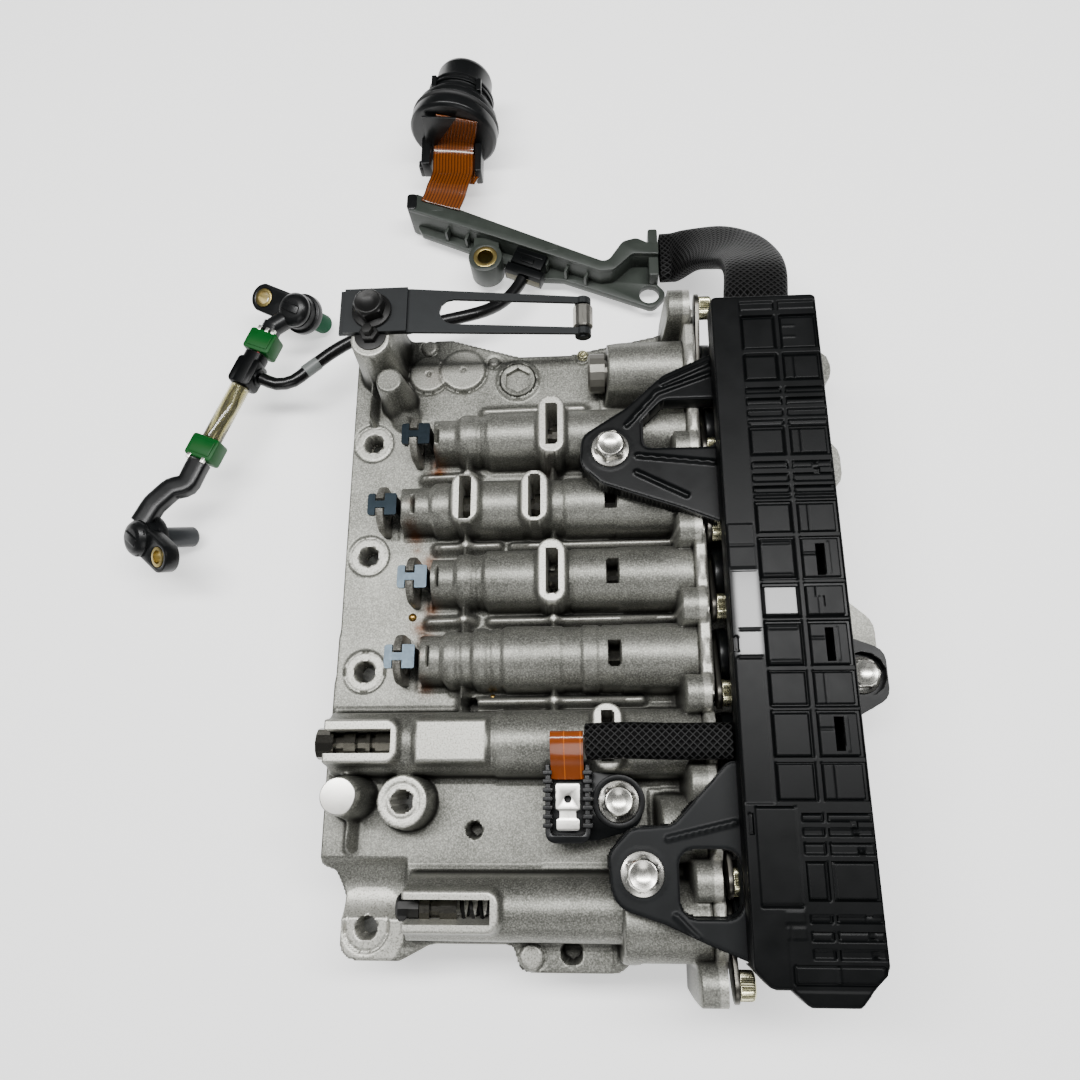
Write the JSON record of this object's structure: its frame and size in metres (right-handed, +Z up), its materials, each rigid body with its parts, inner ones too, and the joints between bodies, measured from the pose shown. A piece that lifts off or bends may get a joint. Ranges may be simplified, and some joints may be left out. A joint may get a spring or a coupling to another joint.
{
  "type": "transmission valve body",
  "caption": "Automatic transmission valve body: ribbed aluminium castings with spool bores, black solenoid block, detent spring, and wiring harness with a round connector and speed sensors.",
  "frame": {"origin": "on the flat bottom face of the lower casting, near the middle of the castings", "axes": "+X along the valve bores towards the solenoids, +Y across them towards the bulkhead connector, +Z up from the face the lower casting rests on"},
  "size_m": [0.3099, 0.4135, 0.0765],
  "materials": {
    "cast_aluminium": "die cast, fine grained, machined on its lands",
    "steel": "bare or zinc plated",
    "blued_steel": "dark, blued or oxidised",
    "black_plastic": "glass filled moulding, half gloss",
    "bracket_plastic": "grey green moulding",
    "amber_film": "polyimide film over copper tracks",
    "braided_sleeve": "black braided monofilament",
    "rubber": "black, smooth",
    "clip_green": "bright green moulding",
    "clear_tube": "clear plastic with wires inside"
  },
  "bodies": {
    "valve_body": {"lower_valve_body": "cast_aluminium", "separator_plate": "steel", "outer_valve_body": "cast_aluminium", "end_plug_a": "steel", "end_plug_b": "steel", "end_plug_c": "steel", "end_plug_d": "steel", "end_plug_e": "steel", "end_plug_g": "steel", "retainer_clip_b": "blued_steel", "retainer_clip_c": "blued_steel", "retainer_clip_d": "blued_steel", "retainer_clip_e": "blued_steel", "spring_b": "steel", "spring_c": "steel", "spring_d": "steel", "spring_e": "steel", "spring_g": "steel", "solenoid_1": "black_plastic", "solenoid_2": "black_plastic", "solenoid_3": "black_plastic", "solenoid_4": "black_plastic", "solenoid_5": "black_plastic", "solenoid_6": "black_plastic", "solenoid_7": "black_plastic", "solenoid_8": "black_plastic", "module_cover": "black_plastic", "module_bolt_1": "steel", "module_bolt_2": "steel", "module_bolt_3": "steel", "detent_spring": "blued_steel", "detent_stiffener": "blued_steel", "detent_bolt": "blued_steel", "hex_plug": "steel", "temp_sensor": "black_plastic", "temp_sensor_bolt": "steel", "temp_flex": "amber_film", "temp_sleeve": "braided_sleeve", "harness_bracket": "bracket_plastic", "main_sleeve": "braided_sleeve", "bulkhead_connector": "black_plastic", "connector_seal": "rubber", "connector_flex": "amber_film", "sensor_plug": "black_plastic", "sensor_cable": "rubber", "sensor_junction": "black_plastic", "sensor_clip_1": "clip_green", "sensor_clip_2": "clip_green", "sensor_tube": "clear_tube", "sensor_arm": "black_plastic", "speed_sensor_1": "black_plastic", "speed_sensor_2": "black_plastic"},
    "spool_b_body": {"spool_b": "blued_steel"},
    "spool_c_body": {"spool_c": "blued_steel"},
    "spool_d_body": {"spool_d": "blued_steel"},
    "spool_e_body": {"spool_e": "blued_steel"},
    "spool_g_body": {"spool_g": "blued_steel"},
    "manual_valve_body": {"manual_valve": "blued_steel"},
    "detent_roller_body": {"detent_roller": "steel"}
  },
  "joints": [
    {"name": "manual_valve_slide", "type": "slide", "parent": "valve_body", "child": "manual_valve_body", "axis": [-1, 0, 0], "range_m": [0, 0.024]},
    {"name": "spool_b_slide", "type": "slide", "parent": "valve_body", "child": "spool_b_body", "axis": [-1, 0, 0], "range_m": [0, 0.005], "stiffness_N_per_m": 500, "springref_m": -0.004, "deforming": ["spring_b"]},
    {"name": "spool_c_slide", "type": "slide", "parent": "valve_body", "child": "spool_c_body", "axis": [-1, 0, 0], "range_m": [0, 0.005], "stiffness_N_per_m": 500, "springref_m": -0.004, "deforming": ["spring_c"]},
    {"name": "spool_d_slide", "type": "slide", "parent": "valve_body", "child": "spool_d_body", "axis": [-1, 0, 0], "range_m": [0, 0.005], "stiffness_N_per_m": 500, "springref_m": -0.004, "deforming": ["spring_d"]},
    {"name": "spool_e_slide", "type": "slide", "parent": "valve_body", "child": "spool_e_body", "axis": [-1, 0, 0], "range_m": [0, 0.005], "stiffness_N_per_m": 500, "springref_m": -0.004, "deforming": ["spring_e"]},
    {"name": "spool_g_slide", "type": "slide", "parent": "valve_body", "child": "spool_g_body", "axis": [1, 0, 0], "range_m": [0, 0.005], "stiffness_N_per_m": 500, "springref_m": -0.004, "deforming": ["spring_g"]},
    {"name": "detent_roller_spin", "type": "hinge", "parent": "valve_body", "child": "detent_roller_body", "pos_m": [0.011, 0.128, 0.0571], "axis": [0, 1, 0], "continuous": true}
  ]
}
